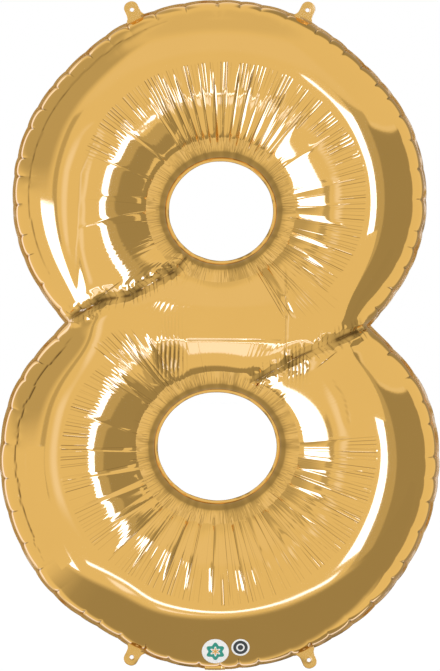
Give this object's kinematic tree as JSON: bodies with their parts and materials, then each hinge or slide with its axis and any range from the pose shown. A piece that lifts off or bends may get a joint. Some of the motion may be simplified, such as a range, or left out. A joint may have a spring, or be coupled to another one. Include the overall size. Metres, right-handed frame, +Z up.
{
  "type": "foil number balloon",
  "caption": "Gold foil balloon in the shape of the numeral eight, inflated, with punched hanging tabs on its seam and a folded filling tail.",
  "frame": {"origin": "centre of the figure in the plane where its two films meet", "axes": "+X to the right and +Z up as the figure is read; the front film faces -Y"},
  "size_m": [0.5666, 0.1676, 0.8638],
  "materials": {
    "gold_foil": "polished",
    "fused_foil": "gloss",
    "clear_film": "gloss"
  },
  "bodies": {
    "balloon": {"front_foil_panel": "gold_foil", "back_foil_panel": "gold_foil", "outer_seam_band": "fused_foil", "upper_eye_seam_band": "fused_foil", "lower_eye_seam_band": "fused_foil"},
    "inflation_tail": {"tail_front_ply": "gold_foil", "tail_back_ply": "gold_foil", "tail_seam_left": "fused_foil", "tail_seam_right": "fused_foil", "mouth_film_front": "clear_film", "mouth_film_back": "clear_film"},
    "valve_front": {"valve_film_front": "clear_film"},
    "valve_back": {"valve_film_back": "clear_film"},
    "tab_upper_left": {"hang_tab_upper_left": "fused_foil"},
    "tab_upper_right": {"hang_tab_upper_right": "fused_foil"},
    "tab_lower_left": {"hang_tab_lower_left": "fused_foil"},
    "tab_lower_right": {"hang_tab_lower_right": "fused_foil"}
  },
  "joints": [
    {"name": "tab_fold_upper_left", "type": "hinge", "parent": "balloon", "child": "tab_upper_left", "pos_m": [-0.10869, 0, 0.41032], "axis": [0.9085, 0, 0.4179], "range_deg": [-85, 85], "stiffness_Nm_per_rad": 0.0001},
    {"name": "tab_fold_upper_right", "type": "hinge", "parent": "balloon", "child": "tab_upper_right", "pos_m": [0.10898, 0, 0.40982], "axis": [0.9021, 0, -0.4315], "range_deg": [-85, 85], "stiffness_Nm_per_rad": 0.0001},
    {"name": "tab_fold_lower_left", "type": "hinge", "parent": "balloon", "child": "tab_lower_left", "pos_m": [-0.10845, 0, -0.40586], "axis": [-0.8823, 0, 0.4706], "range_deg": [-85, 85], "stiffness_Nm_per_rad": 0.0001},
    {"name": "tab_fold_lower_right", "type": "hinge", "parent": "balloon", "child": "tab_lower_right", "pos_m": [0.11134, 0, -0.40921], "axis": [-0.9248, 0, -0.3803], "range_deg": [-85, 85], "stiffness_Nm_per_rad": 0.0001},
    {"name": "tail_fold", "type": "hinge", "parent": "balloon", "child": "inflation_tail", "pos_m": [-0.006, 0, -0.43108], "axis": [1, 0, 0], "range_deg": [-150, 5]},
    {"name": "valve_flap_front", "type": "hinge", "parent": "balloon", "child": "valve_front", "pos_m": [-0.006, -0.00022, -0.42123], "axis": [1, 0, 0], "range_deg": [0, 5], "stiffness_Nm_per_rad": 0.001},
    {"name": "valve_flap_back", "type": "hinge", "parent": "balloon", "child": "valve_back", "pos_m": [-0.006, 0.00022, -0.42123], "axis": [1, 0, 0], "range_deg": [-5, 0], "stiffness_Nm_per_rad": 0.001}
  ],
  "couplings": [
    {"joint": "valve_flap_back", "follows": "valve_flap_front", "ratio": -1}
  ]
}
